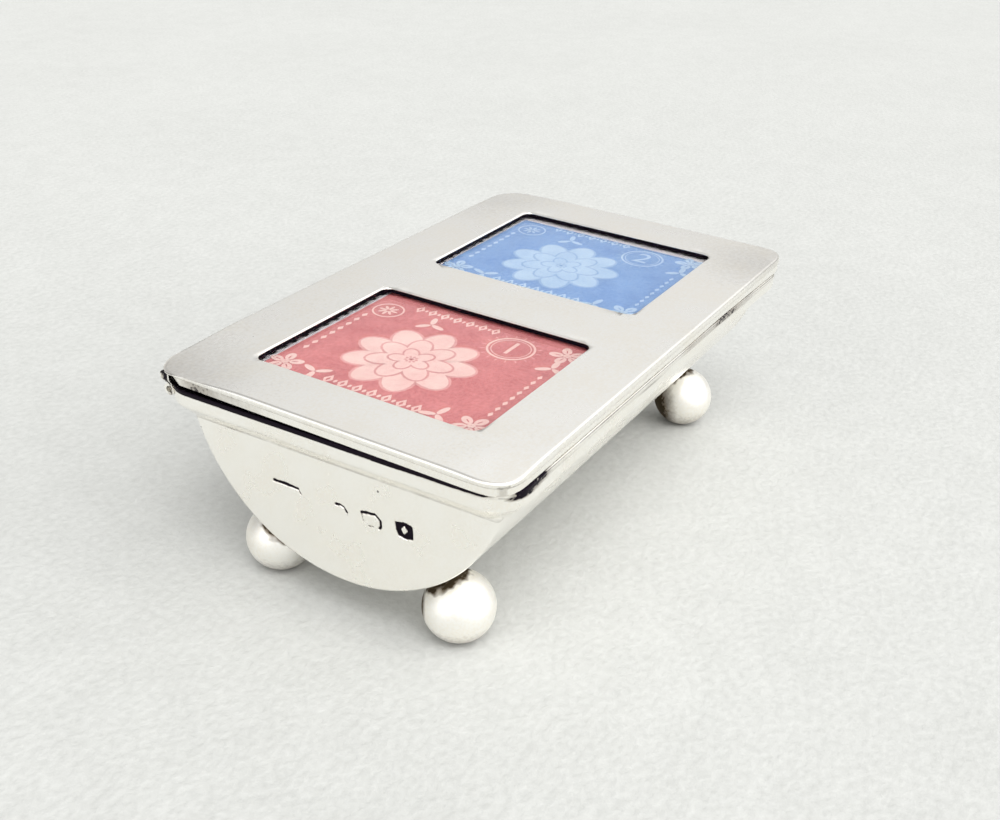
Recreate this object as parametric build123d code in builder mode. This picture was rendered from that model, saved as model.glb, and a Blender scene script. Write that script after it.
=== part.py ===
from build123d import *
import math
import os

# A small silver box for two piles of postage stamps: a half-round trough on four ball feet,
# a flat moulded rim, and a hinged lid with two glazed windows that show one stamp each.
# Millimetres. +X runs along the length, the lid opens at the front (-Y) and is hinged at the
# back (+Y), +Z is up. The origin is on the table, under the middle of the box.

# Stamps, and the windows that show them
stamp_width = 20.0
stamp_height = 24.0
stamp_thickness = 0.1
stamp_end_overlap = 1.1
stamp_side_overlap = 1.5
window_gap = 7.3
window_end_border = 5.4
window_side_border = 5.75
window_corner_radius = 0.9
window_bevel = 0.12

# Lid
lid_depth = 1.2
lid_sheet = 0.5
lid_gap = 0.33
lid_tilt = 1.0
lid_edge_radius = 0.42
skirt_thickness = 0.5
skirt_step = 0.05
skirt_edge_radius = 0.12
skirt_back_inset = 2.25
skirt_end_slant = 0.75
corner_radius = 3.0

# What lies behind each window
glass_thickness = 0.4
glass_margin = 0.1
backing_margin = 0.1
backing_thickness = 0.3
stack_clearance = 0.03
tab_width = 2.0
tab_thickness = 0.25
tab_foot_length = 1.1
tab_lip_length = 1.4
tab_spacing_share = 0.55

# Rim of the box
rim_end_inset = 0.35
rim_depth = 3.25
rim_plate_thickness = 0.4
rim_edge_radius = 0.15
rim_step = 0.04
rim_face_depth = 0.85
rim_nose_radius = 0.5
rim_nose_turn = 44.0
rim_seat_depth = 0.2
rim_opening_radius = 0.6
rim_opening_step = 0.1

# Trough, end plates and divider
side_overhang = 1.25
end_overhang = 2.2
axis_above_rim = 1.15
trough_sheet = 0.6
end_plate_thickness = 0.7
end_edge_radius = 0.3
divider_thickness = 0.6
divider_drop = 0.35

# Ball feet, set round the trough's axis, and the solder that holds them
foot_radius = 2.96
foot_wear = 0.06
foot_gap = 0.2
foot_lean = 29.7
foot_end_inset = 3.25
solder_top_radius = 1.55
solder_waist_radius = 1.15
solder_bottom_radius = 1.35
solder_seat_depth = 0.15

# Hinge
hinge_axis_inset = 0.75
hinge_axis_drop = 0.67
knuckle_radius = 0.5
knuckle_count = 5
knuckle_gap = 0.1
hinge_end_inset = 0.85
hinge_clearance = 0.05
hinge_lip_drop = 0.23
pin_radius = 0.25
pin_clearance = 0.03
pin_recess = 0.6
leaf_thickness = 0.4
leaf_end_inset = 1.05

# Allowance by which cutting tools pass the faces that they cut
overrun = 1.0

# The stamps set the windows, and the windows set the lid
window_width = stamp_width - 2 * stamp_end_overlap
window_height = stamp_height - 2 * stamp_side_overlap
window_x = (window_width + window_gap) / 2
lid_half_length = window_gap / 2 + window_width + window_end_border
lid_half_width = window_height / 2 + window_side_border
lid_length = 2 * lid_half_length
lid_width = 2 * lid_half_width

# The lid sets the trough and its end plates
trough_radius = lid_half_width - side_overhang
trough_inner_radius = trough_radius - trough_sheet
end_plate_outer = lid_half_length - end_overhang
end_plate_inner = end_plate_outer - end_plate_thickness
rim_length = lid_length - 2 * rim_end_inset

# Everything stands on the feet
foot_centre_height = foot_radius - foot_wear
foot_to_axis = trough_radius + foot_gap + foot_radius
foot_x = end_plate_outer - foot_end_inset
foot_y = foot_to_axis * math.sin(math.radians(foot_lean))
trough_centre_height = foot_centre_height + foot_to_axis * math.cos(math.radians(foot_lean))
rim_top_height = trough_centre_height - axis_above_rim
wall_top_height = rim_top_height - rim_plate_thickness
lid_centre_height = rim_top_height + lid_gap + lid_depth

# The moulding sweeps in under the rim as far as the walls stand back at its foot
foot_below_axis = axis_above_rim + rim_depth
wall_at_moulding_foot = math.sqrt(trough_radius**2 - foot_below_axis**2)
moulding_reach = max(end_overhang - rim_end_inset, lid_half_width - wall_at_moulding_foot)

# Hinge line at the back of the rim
hinge_y = lid_half_width - hinge_axis_inset
hinge_height = rim_top_height - hinge_axis_drop
hinge_half_length = lid_half_length - hinge_end_inset
knuckle_pitch = 2 * hinge_half_length / knuckle_count
knuckle_length = knuckle_pitch - knuckle_gap
bore_radius = pin_radius + pin_clearance

tilt = math.radians(lid_tilt)
lid_plane = Plane(
    origin=(0, 0, lid_centre_height),
    x_dir=(1, 0, 0),
    z_dir=(0, -math.sin(tilt), math.cos(tilt)),
)
lid_side_plane = Plane(
    origin=lid_plane.origin,
    x_dir=lid_plane.y_dir,
    z_dir=lid_plane.x_dir,
)
hinge_in_lid = lid_plane.to_local_coords(Vector(0, hinge_y, hinge_height))
lid_up = Axis(lid_plane.origin, lid_plane.z_dir)
side_names = {-1: "left", 1: "right"}
row_names = {-1: "front", 1: "back"}


def write(piece, name):
    """Label one finished piece and write it to its own file."""
    piece.part.label = name
    export_step(piece.part, f"parts/{name}.step")


def segment_profile(radius, top_height, x, hollow_radius=0):
    """A disc or ring square to the length, kept only where it lies under the given height."""
    with BuildSketch(Plane.YZ.offset(x)) as profile:
        with Locations((0, trough_centre_height)):
            Circle(radius)
            if hollow_radius:
                Circle(hollow_radius, mode=Mode.SUBTRACT)
        with Locations((0, top_height)):
            Rectangle(
                2 * radius + overrun,
                2 * radius + overrun,
                align=(Align.CENTER, Align.MAX),
                mode=Mode.INTERSECT,
            )
    return profile.sketch


def trough_body(half_length, mode):
    """The whole round body of the trough, between two planes square to the length."""
    with BuildSketch(Plane.YZ.offset(-half_length)) as profile:
        with Locations((0, trough_centre_height)):
            Circle(trough_radius)
    extrude(profile.sketch, amount=2 * half_length, mode=mode)


def hinge_rod(radius, middle_x, length, mode=Mode.ADD):
    """A rod on the hinge axis, or the room for one."""
    with BuildSketch(Plane.YZ.offset(middle_x - length / 2)) as profile:
        with Locations((hinge_y, hinge_height)):
            Circle(radius)
    extrude(profile.sketch, amount=length, mode=mode)


def knuckle_middle(index):
    """Where along the length the middle of a knuckle lies, counted from the left."""
    return (index - (knuckle_count - 1) / 2) * knuckle_pitch


lid_knuckles = range(0, knuckle_count, 2)
box_knuckles = range(1, knuckle_count, 2)


def cut_hinge_groove():
    """Let the hinge into the back of the rim: soldered seats, and room for the lid's knuckles."""
    whole_length = lid_length + overrun
    groove_floor = hinge_height - hinge_lip_drop
    with BuildSketch(Plane.YZ.offset(-whole_length / 2)) as ledge:
        with Locations((hinge_y - knuckle_radius - hinge_clearance, groove_floor)):
            Rectangle(
                hinge_axis_inset + knuckle_radius + overrun,
                rim_depth + overrun,
                align=(Align.MIN, Align.MIN),
            )
    extrude(ledge.sketch, amount=whole_length, mode=Mode.SUBTRACT)
    hinge_rod(knuckle_radius, 0, whole_length, Mode.SUBTRACT)
    for index in lid_knuckles:
        middle_x = knuckle_middle(index)
        at_an_end = index in (0, knuckle_count - 1)
        run_out = overrun if at_an_end else 0
        hinge_rod(
            knuckle_radius + hinge_clearance,
            middle_x + math.copysign(run_out / 2, middle_x),
            knuckle_pitch + run_out,
            Mode.SUBTRACT,
        )


os.makedirs("parts", exist_ok=True)

# Trough: one bent sheet that is the front, the bottom and the back
with BuildPart() as trough_shell:
    ring = segment_profile(trough_radius, wall_top_height, -end_plate_inner, trough_inner_radius)
    extrude(ring, amount=2 * end_plate_inner)
write(trough_shell, "trough_shell")

# End plates: flat D shapes soldered over the trough's ends, their round edge softened
for side, side_name in side_names.items():
    with BuildPart() as end_plate:
        disc = segment_profile(trough_radius, wall_top_height, side * end_plate_inner)
        extrude(disc, amount=side * end_plate_thickness)
        outer_face = end_plate.faces().sort_by(Axis.X)[0 if side < 0 else -1]
        fillet(outer_face.edges().filter_by(GeomType.CIRCLE), end_edge_radius)
    write(end_plate, f"end_plate_{side_name}")

# Divider between the two piles
with BuildPart() as divider:
    divider_top = wall_top_height - divider_drop
    disc = segment_profile(trough_inner_radius, divider_top, -divider_thickness / 2)
    extrude(disc, amount=divider_thickness)
write(divider, "divider")

# Flat plate of the rim, which covers the top edges of the walls
rim_opening_width = 2 * (trough_inner_radius - rim_opening_step)
with BuildPart() as rim_plate:
    with BuildSketch(Plane.XY.offset(wall_top_height)):
        RectangleRounded(rim_length, lid_width, corner_radius)
        RectangleRounded(
            2 * end_plate_inner,
            rim_opening_width,
            rim_opening_radius,
            mode=Mode.SUBTRACT,
        )
    extrude(amount=rim_plate_thickness)
    plate_top = rim_plate.faces().sort_by(Axis.Z)[-1]
    fillet(plate_top.outer_wire().edges(), rim_edge_radius)
    cut_hinge_groove()
write(rim_plate, "rim_plate")

# Moulding under the rim plate: an upright face, a rounded nose and a flare in to the walls
moulding_plane = Plane(
    origin=(0, -lid_half_width, wall_top_height),
    x_dir=(0, -1, 0),
    z_dir=(-1, 0, 0),
)
moulding_drop = rim_depth - rim_plate_thickness
with BuildPart() as rim_moulding:
    with BuildLine(Plane.XY.offset(wall_top_height)) as rim_path:
        with BuildSketch(Plane.XY.offset(wall_top_height), mode=Mode.PRIVATE) as rim_outline:
            RectangleRounded(rim_length, lid_width, corner_radius)
        add(rim_outline.sketch.face().outer_wire().edges())
    with BuildSketch(moulding_plane) as rim_profile:
        with BuildLine():
            top = Line((-moulding_reach - rim_seat_depth, 0), (-rim_step, 0))
            face = Line(top @ 1, (-rim_step, -rim_face_depth))
            nose = JernArc(face @ 1, (0, -1), rim_nose_radius, -rim_nose_turn)
            flare = TangentArc(nose @ 1, (-moulding_reach, -moulding_drop), tangent=nose % 1)
            under = Line(flare @ 1, (-moulding_reach - rim_seat_depth, -moulding_drop))
            Line(under @ 1, top @ 0)
        make_face()
    sweep(path=rim_path.wires()[0])
    trough_body(end_plate_outer, Mode.SUBTRACT)
    cut_hinge_groove()
write(rim_moulding, "rim_moulding")

# Ball feet, each worn flat where it rests, and the fillet of solder above each
ball_seat = math.sqrt(foot_radius**2 - solder_bottom_radius**2)
trough_seat = foot_radius + foot_gap
for row, row_name in row_names.items():
    for side, side_name in side_names.items():
        foot_centre = Vector(side * foot_x, row * foot_y, foot_centre_height)
        to_axis = (Vector(side * foot_x, 0, trough_centre_height) - foot_centre).normalized()
        with BuildPart() as foot:
            with Locations(foot_centre):
                Sphere(foot_radius)
            split(bisect_by=Plane.XY, keep=Keep.TOP)
        write(foot, f"foot_{row_name}_{side_name}")

        section_plane = Plane(
            origin=foot_centre,
            x_dir=(1, 0, 0),
            z_dir=Vector(1, 0, 0).cross(to_axis),
        )
        with BuildPart() as solder:
            with BuildSketch(section_plane):
                with BuildLine():
                    flank = ThreePointArc(
                        (solder_bottom_radius, ball_seat),
                        (solder_waist_radius, foot_radius + foot_gap / 2),
                        (solder_top_radius, trough_seat + solder_seat_depth),
                    )
                    Polyline(flank @ 1, (0, trough_seat + solder_seat_depth), (0, ball_seat), flank @ 0)
                make_face()
            revolve(axis=Axis(foot_centre, to_axis))
            with Locations(foot_centre):
                Sphere(foot_radius, mode=Mode.SUBTRACT)
            trough_body(lid_half_length, Mode.SUBTRACT)
        write(solder, f"foot_solder_{row_name}_{side_name}")

# Hinge: short tubes in turn on the lid and on the box, and the pin through all of them
for owner, knuckles in (("lid", lid_knuckles), ("box", box_knuckles)):
    for count, index in enumerate(knuckles, 1):
        with BuildPart() as knuckle:
            hinge_rod(knuckle_radius, knuckle_middle(index), knuckle_length)
            hinge_rod(bore_radius, knuckle_middle(index), knuckle_length + overrun, Mode.SUBTRACT)
        write(knuckle, f"{owner}_knuckle_{count}")

with BuildPart() as hinge_pin:
    hinge_rod(pin_radius, 0, 2 * (hinge_half_length - pin_recess))
write(hinge_pin, "hinge_pin")

# Leaf: the strip that hangs from the lid and carries the lid's knuckles
with BuildPart() as hinge_leaf:
    with BuildSketch(lid_side_plane.offset(-lid_half_length + leaf_end_inset)):
        with Locations((hinge_in_lid.Y, -lid_sheet)):
            Rectangle(
                leaf_thickness,
                -hinge_in_lid.Z - lid_sheet,
                align=(Align.MAX, Align.MAX),
            )
    extrude(amount=2 * (lid_half_length - leaf_end_inset))
    hinge_rod(knuckle_radius, 0, lid_length, Mode.SUBTRACT)
    for index in box_knuckles:
        hinge_rod(knuckle_radius + hinge_clearance, knuckle_middle(index), knuckle_pitch, Mode.SUBTRACT)
write(hinge_leaf, "hinge_leaf")

# Lid: a flat sheet with two windows, its top edge rounded over
with BuildPart() as lid_plate:
    with BuildSketch(lid_plane):
        RectangleRounded(lid_length, lid_width, corner_radius)
        with Locations((-window_x, 0), (window_x, 0)):
            RectangleRounded(
                window_width,
                window_height,
                window_corner_radius,
                mode=Mode.SUBTRACT,
            )
    extrude(amount=-lid_sheet)
    lid_top = lid_plate.faces().sort_by(lid_up)[-1]
    fillet(lid_top.outer_wire().edges(), lid_edge_radius)
    lid_top = lid_plate.faces().sort_by(lid_up)[-1]
    window_edges = [edge for wire in lid_top.inner_wires() for edge in wire.edges()]
    chamfer(window_edges, window_bevel)
write(lid_plate, "lid_plate")

# Skirt: the strip that stands under the sheet on three sides, its back ends cut on a slant
skirt_inner = skirt_step + skirt_thickness
with BuildPart() as lid_skirt:
    with BuildSketch(lid_plane.offset(-lid_sheet)):
        RectangleRounded(
            lid_length - 2 * skirt_step,
            lid_width - 2 * skirt_step,
            corner_radius - skirt_step,
        )
        RectangleRounded(
            lid_length - 2 * skirt_inner,
            lid_width - 2 * skirt_inner,
            corner_radius - skirt_inner,
            mode=Mode.SUBTRACT,
        )
    extrude(amount=lid_sheet - lid_depth)
    skirt_bottom = lid_skirt.faces().sort_by(lid_up)[0]
    fillet(skirt_bottom.outer_wire().edges(), skirt_edge_radius)
    with BuildSketch(lid_side_plane.offset(-lid_half_length - overrun)):
        skirt_end = lid_half_width - skirt_back_inset
        with BuildLine():
            Polyline(
                (skirt_end, overrun),
                (skirt_end, -lid_sheet),
                (skirt_end - skirt_end_slant, -lid_depth),
                (skirt_end - skirt_end_slant, -lid_depth - overrun),
                (lid_half_width + overrun, -lid_depth - overrun),
                (lid_half_width + overrun, overrun),
                close=True,
            )
        make_face()
    extrude(amount=lid_length + 2 * overrun, mode=Mode.SUBTRACT)
write(lid_skirt, "lid_skirt")

# Behind each window, from the top: glass, stamp and backing plate, held by bent tabs
glass_depth = lid_sheet
stamp_depth = glass_depth + glass_thickness
backing_depth = stamp_depth + stamp_thickness
lip_depth = backing_depth + backing_thickness + stack_clearance
stack_half_height = stamp_height / 2 + max(glass_margin, backing_margin)
for side, side_name in side_names.items():
    with BuildPart() as glass:
        with BuildSketch(lid_plane.offset(-glass_depth)):
            with Locations((side * window_x, 0)):
                Rectangle(stamp_width + 2 * glass_margin, stamp_height + 2 * glass_margin)
        extrude(amount=-glass_thickness)
    write(glass, f"glass_{side_name}")

    with BuildPart() as stamp:
        with BuildSketch(lid_plane.offset(-stamp_depth)):
            with Locations((side * window_x, 0)):
                Rectangle(stamp_width, stamp_height)
        extrude(amount=-stamp_thickness)
    write(stamp, f"stamp_{side_name}")

    with BuildPart() as backing:
        with BuildSketch(lid_plane.offset(-backing_depth)):
            with Locations((side * window_x, 0)):
                Rectangle(stamp_width + 2 * backing_margin, stamp_height + 2 * backing_margin)
        extrude(amount=-backing_thickness)
    write(backing, f"backing_plate_{side_name}")

    with BuildPart() as tabs:
        for across in (-1, 1):
            middle_x = side * window_x + across * tab_spacing_share * stamp_width / 2
            leg_y = stack_half_height + stack_clearance
            for end in (-1, 1):
                with BuildSketch(lid_side_plane.offset(middle_x - tab_width / 2)):
                    with BuildLine():
                        Polyline(
                            (end * (leg_y + tab_foot_length), -lid_sheet),
                            (end * leg_y, -lid_sheet),
                            (end * leg_y, -lip_depth),
                            (end * (leg_y - tab_lip_length), -lip_depth),
                            (end * (leg_y - tab_lip_length), -lip_depth - tab_thickness),
                            (end * (leg_y + tab_thickness), -lip_depth - tab_thickness),
                            (end * (leg_y + tab_thickness), -lid_sheet - tab_thickness),
                            (end * (leg_y + tab_foot_length), -lid_sheet - tab_thickness),
                            close=True,
                        )
                    make_face()
                extrude(amount=tab_width)
    write(tabs, f"retaining_tabs_{side_name}")
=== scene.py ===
# %% [markdown]
# # A silver stamp box
#
# A small box of old silver stands on four ball feet on a pale sheet of paper. Two piles of postage
# stamps would lie in its half-round trough, and its hinged lid shows one stamp in each window.
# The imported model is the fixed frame: it gives every piece its place, in metres. What follows gives
# the pieces the softness, wear, tarnish and colour of the real ones.

# %% Load the frame
import math

import bmesh
import bpy
import numpy as np
from mathutils import Matrix, Vector


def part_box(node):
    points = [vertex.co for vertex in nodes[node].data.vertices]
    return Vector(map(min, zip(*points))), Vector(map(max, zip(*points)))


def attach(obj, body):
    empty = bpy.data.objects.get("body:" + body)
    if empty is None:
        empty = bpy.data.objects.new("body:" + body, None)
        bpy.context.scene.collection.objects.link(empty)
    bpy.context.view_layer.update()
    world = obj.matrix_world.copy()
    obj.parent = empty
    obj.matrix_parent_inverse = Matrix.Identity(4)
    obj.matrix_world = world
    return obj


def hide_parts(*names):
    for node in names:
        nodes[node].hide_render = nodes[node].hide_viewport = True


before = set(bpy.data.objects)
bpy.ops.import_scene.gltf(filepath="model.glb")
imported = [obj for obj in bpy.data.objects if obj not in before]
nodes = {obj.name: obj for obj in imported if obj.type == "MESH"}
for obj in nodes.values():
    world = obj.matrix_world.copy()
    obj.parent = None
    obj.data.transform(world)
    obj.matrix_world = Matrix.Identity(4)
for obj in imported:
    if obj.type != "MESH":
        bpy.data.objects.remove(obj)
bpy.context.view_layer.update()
MM = 0.001
scene = bpy.context.scene

# %% [markdown]
# ## Camera
#
# The box was photographed from its left end, from about two of its own lengths away, looking down
# by 28 degrees. At that distance the perspective is strong, so the lens matters as much as the
# angle does. Both were found by fitting the lid's edges, the windows and the feet to the picture.

# %% Camera
LID_CENTRE = Vector((0, 0, 19.05435)) * MM
CAMERA_FROM_LID = Vector((-85.92, -50.79, 42.08)) * MM
CAMERA_AZIMUTH = math.radians(-59.18)
CAMERA_ELEVATION = math.radians(28.01)
CAMERA_ROLL = math.radians(1.33)
IMAGE_WIDTH = 1000
FOCAL_PIXELS = 1217.3
SENSOR_WIDTH = 36.0

back = Vector((
    math.sin(CAMERA_AZIMUTH) * math.cos(CAMERA_ELEVATION),
    -math.cos(CAMERA_AZIMUTH) * math.cos(CAMERA_ELEVATION),
    math.sin(CAMERA_ELEVATION),
))
right = Vector((0, 0, 1)).cross(back).normalized()
up = back.cross(right)
turned_right = right * math.cos(CAMERA_ROLL) + up * math.sin(CAMERA_ROLL)
turned_up = up * math.cos(CAMERA_ROLL) - right * math.sin(CAMERA_ROLL)
camera_data = bpy.data.cameras.new("camera")
camera_data.sensor_width = SENSOR_WIDTH
camera_data.lens = SENSOR_WIDTH * FOCAL_PIXELS / IMAGE_WIDTH
camera_data.clip_start = 5 * MM
camera_data.clip_end = 5
camera = bpy.data.objects.new("camera", camera_data)
scene.collection.objects.link(camera)
turn = Matrix((turned_right, turned_up, back)).transposed().to_4x4()
camera.matrix_world = Matrix.Translation(LID_CENTRE + CAMERA_FROM_LID) @ turn
scene.camera = camera
print("lens in mm:", round(camera_data.lens, 2))

# %% [markdown]
# ## Tools for node trees
#
# Materials and Geometry Nodes are both trees of nodes. One helper adds a node, sets it up and wires
# it, so that a tree reads as a list of steps. Others add the steps that come up most, start a
# material, and let an object grow in a Geometry Nodes tree, whose result is taken as a plain mesh,
# with no modifier left on it.


# %% Helpers for node trees
def node(tree, kind, inputs=None, **settings):
    """Add a node, set it up, and give each input a value or a link."""
    made = tree.nodes.new(kind)
    for setting, value in settings.items():
        setattr(made, setting, value)
    for key, value in (inputs or {}).items():
        if isinstance(value, bpy.types.NodeSocket):
            tree.links.new(value, made.inputs[key])
        else:
            made.inputs[key].default_value = value
    return made


def new_material(name):
    """An empty material with its main shader, and the place on the object in metres."""
    material = bpy.data.materials.new(name)
    material.use_nodes = True
    tree = material.node_tree
    shader = tree.nodes["Principled BSDF"]
    place = node(tree, "ShaderNodeTexCoord").outputs["Object"]
    return material, tree, shader, place


def noise(tree, place, feature_mm, detail, stretch=None):
    """A cloudy value from 0 to 1, with features of about the given size."""
    if stretch:
        place = node(tree, "ShaderNodeMapping", {"Vector": place, "Scale": stretch}).outputs[0]
    settings = {"Vector": place, "Scale": 1 / (feature_mm * MM), "Detail": detail}
    return node(tree, "ShaderNodeTexNoise", settings).outputs["Fac"]


def math_step(tree, operation, first, second=0.0):
    """One sum on two values."""
    return node(tree, "ShaderNodeMath", {0: first, 1: second}, operation=operation).outputs[0]


def ranged(tree, value, low, high, to_low=0.0, to_high=1.0):
    """Stretch the part of a value between low and high over another range."""
    settings = {
        "Value": value, "From Min": low, "From Max": high, "To Min": to_low, "To Max": to_high,
    }
    return node(tree, "ShaderNodeMapRange", settings).outputs[0]


def mixed(tree, share, first, second):
    """A colour between two others."""
    settings = {0: share, 6: first, 7: second}
    return node(tree, "ShaderNodeMix", settings, data_type="RGBA").outputs[2]


def bumped(tree, shader, height, depth_mm, strength=1.0):
    """Let a value stand up from the surface as fine relief."""
    settings = {"Strength": strength, "Distance": depth_mm * MM, "Height": height}
    tree.links.new(node(tree, "ShaderNodeBump", settings).outputs[0], shader.inputs["Normal"])


def growth_tree(name, inputs):
    """Start a Geometry Nodes tree with named inputs."""
    tree = bpy.data.node_groups.new(name, "GeometryNodeTree")
    tree.interface.new_socket("Geometry", in_out="INPUT", socket_type="NodeSocketGeometry")
    for label, kind in inputs.items():
        tree.interface.new_socket(label, in_out="INPUT", socket_type="NodeSocket" + kind)
    tree.interface.new_socket("Geometry", in_out="OUTPUT", socket_type="NodeSocketGeometry")
    return tree, tree.nodes.new("NodeGroupInput").outputs, tree.nodes.new("NodeGroupOutput").inputs


def close_tree(tree, geometry, material, result):
    """End a tree in plain geometry with one material."""
    plain = node(tree, "GeometryNodeRealizeInstances", {0: geometry}).outputs[0]
    painted = node(tree, "GeometryNodeSetMaterial", {"Geometry": plain, "Material": material})
    tree.links.new(painted.outputs[0], result[0])


def plain_mesh(holder):
    """What an object looks like after its modifiers, as a mesh of its own."""
    evaluated = holder.evaluated_get(bpy.context.evaluated_depsgraph_get())
    return bpy.data.meshes.new_from_object(evaluated)


def grown(tree, values, base=None):
    """The plain mesh that a tree makes with these values."""
    holder = bpy.data.objects.new("growing", base or bpy.data.meshes.new("growing"))
    scene.collection.objects.link(holder)
    modifier = holder.modifiers.new(tree.name, "NODES")
    modifier.node_group = tree
    for socket in tree.interface.items_tree:
        if socket.in_out == "INPUT" and socket.name in values:
            modifier[socket.identifier] = values[socket.name]
    mesh = plain_mesh(holder)
    bpy.data.objects.remove(holder)
    return mesh


print("a feature of 1 mm is a noise scale of", 1 / MM)

# %% [markdown]
# ## Silver
#
# Old silver is nearly white and a little warm. What makes it look old is fine: hairline scratches
# from polishing, a grain and a soft unevenness in its gloss, small pits, and sulphide that stays
# where the cloth doesn't reach, brown where it is thin and black where it is thick. A picture of
# all that would not fit a second box, so the material is made of noise in the object's own
# millimetres. Where the sulphide lies isn't random, so each mesh carries a value for the material
# to read, and noise breaks up its edges. The same value, with the same brown and black, also
# paints shade: in gaps, window walls, seams and creases, at three corners of the lid, and on the
# shaded sides and feet of the balls.

# %% Silver materials
SILVER = (0.965, 0.95, 0.905, 1)
WARM_SILVER = (0.94, 0.91, 0.84, 1)
# Black and brown of sulphide, also used as painted shade where a mesh's value puts it.
BLACK_SULPHIDE_AND_SHADE = (0.012, 0.008, 0.014, 1)
BROWN_SULPHIDE_AND_SHADE = (0.16, 0.12, 0.085, 1)
# Olive-brown for the balls' crust, and for the shade painted on them.
OLIVE_SULPHIDE_AND_SHADE = (0.075, 0.055, 0.032, 1)
PIT_SPACING = 3.5
LARGEST_PIT = 0.035
PIT_DARKNESS = 0.8
GRAIN_SIZE = 0.22
GRAIN_SHARE = 0.55
GLOSS_CHANGE = 0.12
DULLED_BY_SULPHIDE = 0.25
SCRATCHED_ALONG = (0.25, 9, 5)
SCRATCHED_ACROSS = (8, 0.4, 6)


def silver_finish(name, roughness, scratch_depth, dark=BLACK_SULPHIDE_AND_SHADE, browning=0.6):
    """Worn silver: gloss, scratches, pits, and sulphide and painted shade where the mesh says so."""
    material, tree, shader, place = new_material(name)
    tarnish_and_shade = node(tree, "ShaderNodeAttribute", attribute_name="tarnish_and_shade").outputs["Fac"]
    cloud = noise(tree, place, 4, 5)
    fine = noise(tree, place, 0.3, 5)
    broken = math_step(tree, "ADD", tarnish_and_shade, ranged(tree, fine, 0.3, 0.7, -0.13, 0.13))
    black = ranged(tree, broken, 0.5, 0.6)
    softly_broken = math_step(tree, "ADD", tarnish_and_shade, ranged(tree, fine, 0.3, 0.7, -0.05, 0.05))
    brown = ranged(tree, softly_broken, 0.08, 0.5, 0, browning)

    spots = node(tree, "ShaderNodeTexVoronoi", {"Vector": place, "Scale": 1 / (PIT_SPACING * MM)})
    size = ranged(tree, spots.outputs["Color"], 0.62, 0.85, 0.0, LARGEST_PIT)
    pit = math_step(tree, "LESS_THAN", spots.outputs["Distance"], size)

    speckle = noise(tree, place, GRAIN_SIZE, 3)
    grain = ranged(tree, speckle, 0.35, 0.65, -GRAIN_SHARE, GRAIN_SHARE)
    warmth = math_step(tree, "ADD", ranged(tree, cloud, 0.35, 0.7), grain)
    clean = mixed(tree, warmth, SILVER, WARM_SILVER)
    browned = mixed(tree, brown, clean, BROWN_SULPHIDE_AND_SHADE)
    # The share of black: thick sulphide, painted shade and pits.
    darkened = math_step(tree, "MAXIMUM", black, math_step(tree, "MULTIPLY", pit, PIT_DARKNESS))
    tree.links.new(mixed(tree, darkened, browned, dark), shader.inputs["Base Color"])

    smoothest, roughest = roughness * (1 - GLOSS_CHANGE), roughness * (1 + GLOSS_CHANGE)
    gloss = ranged(tree, cloud, 0.3, 0.7, smoothest, roughest)
    dull = math_step(tree, "ADD", gloss, ranged(tree, black, 0, 1, 0, DULLED_BY_SULPHIDE))
    tree.links.new(dull, shader.inputs["Roughness"])

    along = noise(tree, place, 1, 3, SCRATCHED_ALONG)
    across = noise(tree, place, 1, 3, SCRATCHED_ACROSS)
    height = math_step(tree, "SUBTRACT", math_step(tree, "ADD", along, across), pit)
    bumped(tree, shader, height, scratch_depth)
    shader.inputs["Metallic"].default_value = 1.0
    return material


satin_silver = silver_finish("satin_silver", 0.3, 0.002)
polished_silver = silver_finish("polished_silver", 0.26, 0.0016)
ball_silver = silver_finish("ball_silver", 0.46, 0.003, dark=OLIVE_SULPHIDE_AND_SHADE, browning=0.92)
plain_silver = silver_finish("plain_silver", 0.38, 0.003)
finishes = (satin_silver, polished_silver, ball_silver, plain_silver)
print("silver finishes:", [finish.name for finish in finishes])

# %% [markdown]
# ## Solder
#
# Each ball is held by a small fillet of hard solder. It is rough, full of pinholes and nearly
# black. One noise makes both its colour, brown-black in the holes and dull grey on the bumps, and
# its relief. Two noises could do it too, but then holes and colours wouldn't meet.

# %% Solder material
solder_finish, tree, shader, place = new_material("solder_finish")
crust = noise(tree, place, 0.35, 8)
crust_colour = node(tree, "ShaderNodeValToRGB", {"Fac": crust})
CRUST_COLOURS = ((0.42, (0.01, 0.008, 0.006, 1)), (0.62, (0.34, 0.3, 0.25, 1)))
for stop, (position, colour) in zip(crust_colour.color_ramp.elements, CRUST_COLOURS):
    stop.position = position
    stop.color = colour
tree.links.new(crust_colour.outputs[0], shader.inputs["Base Color"])
bumped(tree, shader, crust, 0.05)
shader.inputs["Metallic"].default_value = 0.85
shader.inputs["Roughness"].default_value = 0.5
print("solder:", solder_finish.name)

# %% [markdown]
# ## From the model's surfaces to worn ones
#
# The model's surfaces are exact, and its mesh has only the points that its shape needs. Old silver
# is never quite flat: sheet bent and hammered by hand wanders by a few hundredths of a millimetre,
# and that is what makes its reflections soft. So each piece starts as a merged copy of its model
# node, is cut by a grid of planes into small faces, and then has its points pushed a little.
# Cutting keeps every edge where it is, where a remesh would round it off. Weighted normals then
# keep the flats flat beside their rounded edges.


# %% Soft values
WAVES = 14


def ripple(points, wavelength_mm, seed):
    """A smooth random value of about -1 to 1 at each point, the same in every run."""
    dice = np.random.default_rng(seed)
    directions = dice.normal(size=(WAVES, 3))
    directions /= np.linalg.norm(directions, axis=1, keepdims=True)
    lengths = wavelength_mm * MM * dice.uniform(0.7, 1.8, WAVES)
    angles = points @ (directions / lengths[:, None]).T * 2 * math.pi + dice.uniform(0, 6.28, WAVES)
    return np.sin(angles).sum(axis=1) / math.sqrt(WAVES * 2)


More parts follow.
